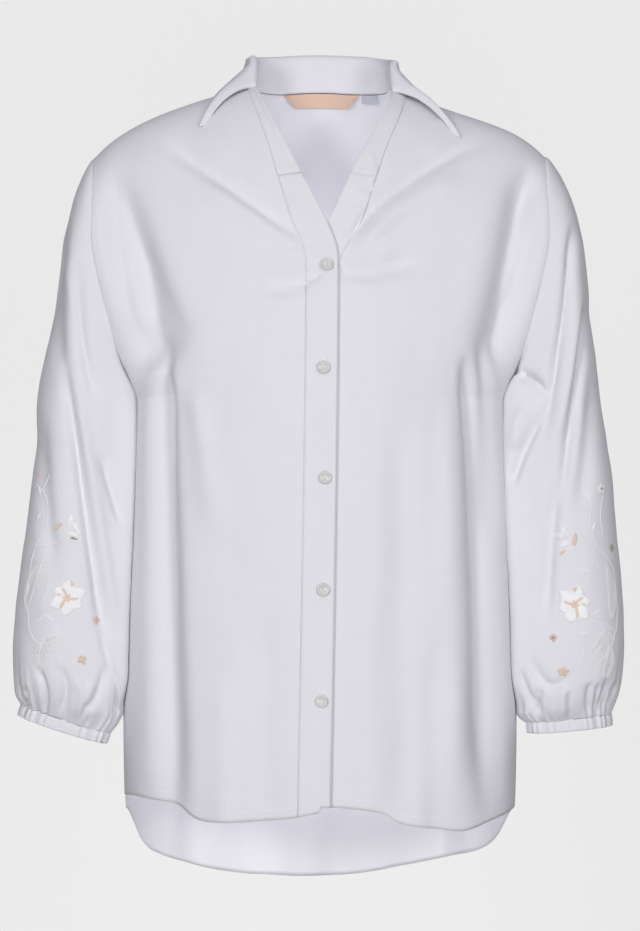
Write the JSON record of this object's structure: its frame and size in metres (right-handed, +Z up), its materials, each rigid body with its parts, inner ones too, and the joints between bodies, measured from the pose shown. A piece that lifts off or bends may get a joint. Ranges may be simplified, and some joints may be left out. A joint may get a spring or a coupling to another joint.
{
  "type": "embroidered blouse",
  "caption": "White long-sleeved blouse with an open V collar, buttoned placket, elastic wrists and a curved hem, hollow as worn.",
  "frame": {"origin": "centre of the neck opening at the height where the shoulder seams start", "axes": "+Z up the body, -Y out of the front, +X to the wearer's left"},
  "size_m": [0.5766, 0.2409, 0.8032],
  "materials": {
    "cloth": "crisp white plain weave",
    "button": "pearly off-white, polished",
    "neck_label": "peach satin ribbon",
    "size_label": "pale grey satin ribbon",
    "thread": "white embroidery thread",
    "thread_peach": "peach embroidery thread",
    "thread_olive": "olive embroidery thread"
  },
  "bodies": {
    "root": {"front_right": "cloth", "front_left": "cloth", "back": "cloth", "sleeve_right": "cloth", "sleeve_left": "cloth", "cuff_right": "cloth", "cuff_left": "cloth", "collar": "cloth", "placket_right": "cloth", "placket_left": "cloth", "facing_right": "cloth", "facing_left": "cloth", "button_1": "button", "button_2": "button", "button_3": "button", "button_4": "button", "button_5": "button", "neck_label": "neck_label", "size_label": "size_label"}
  },
  "joints": []
}
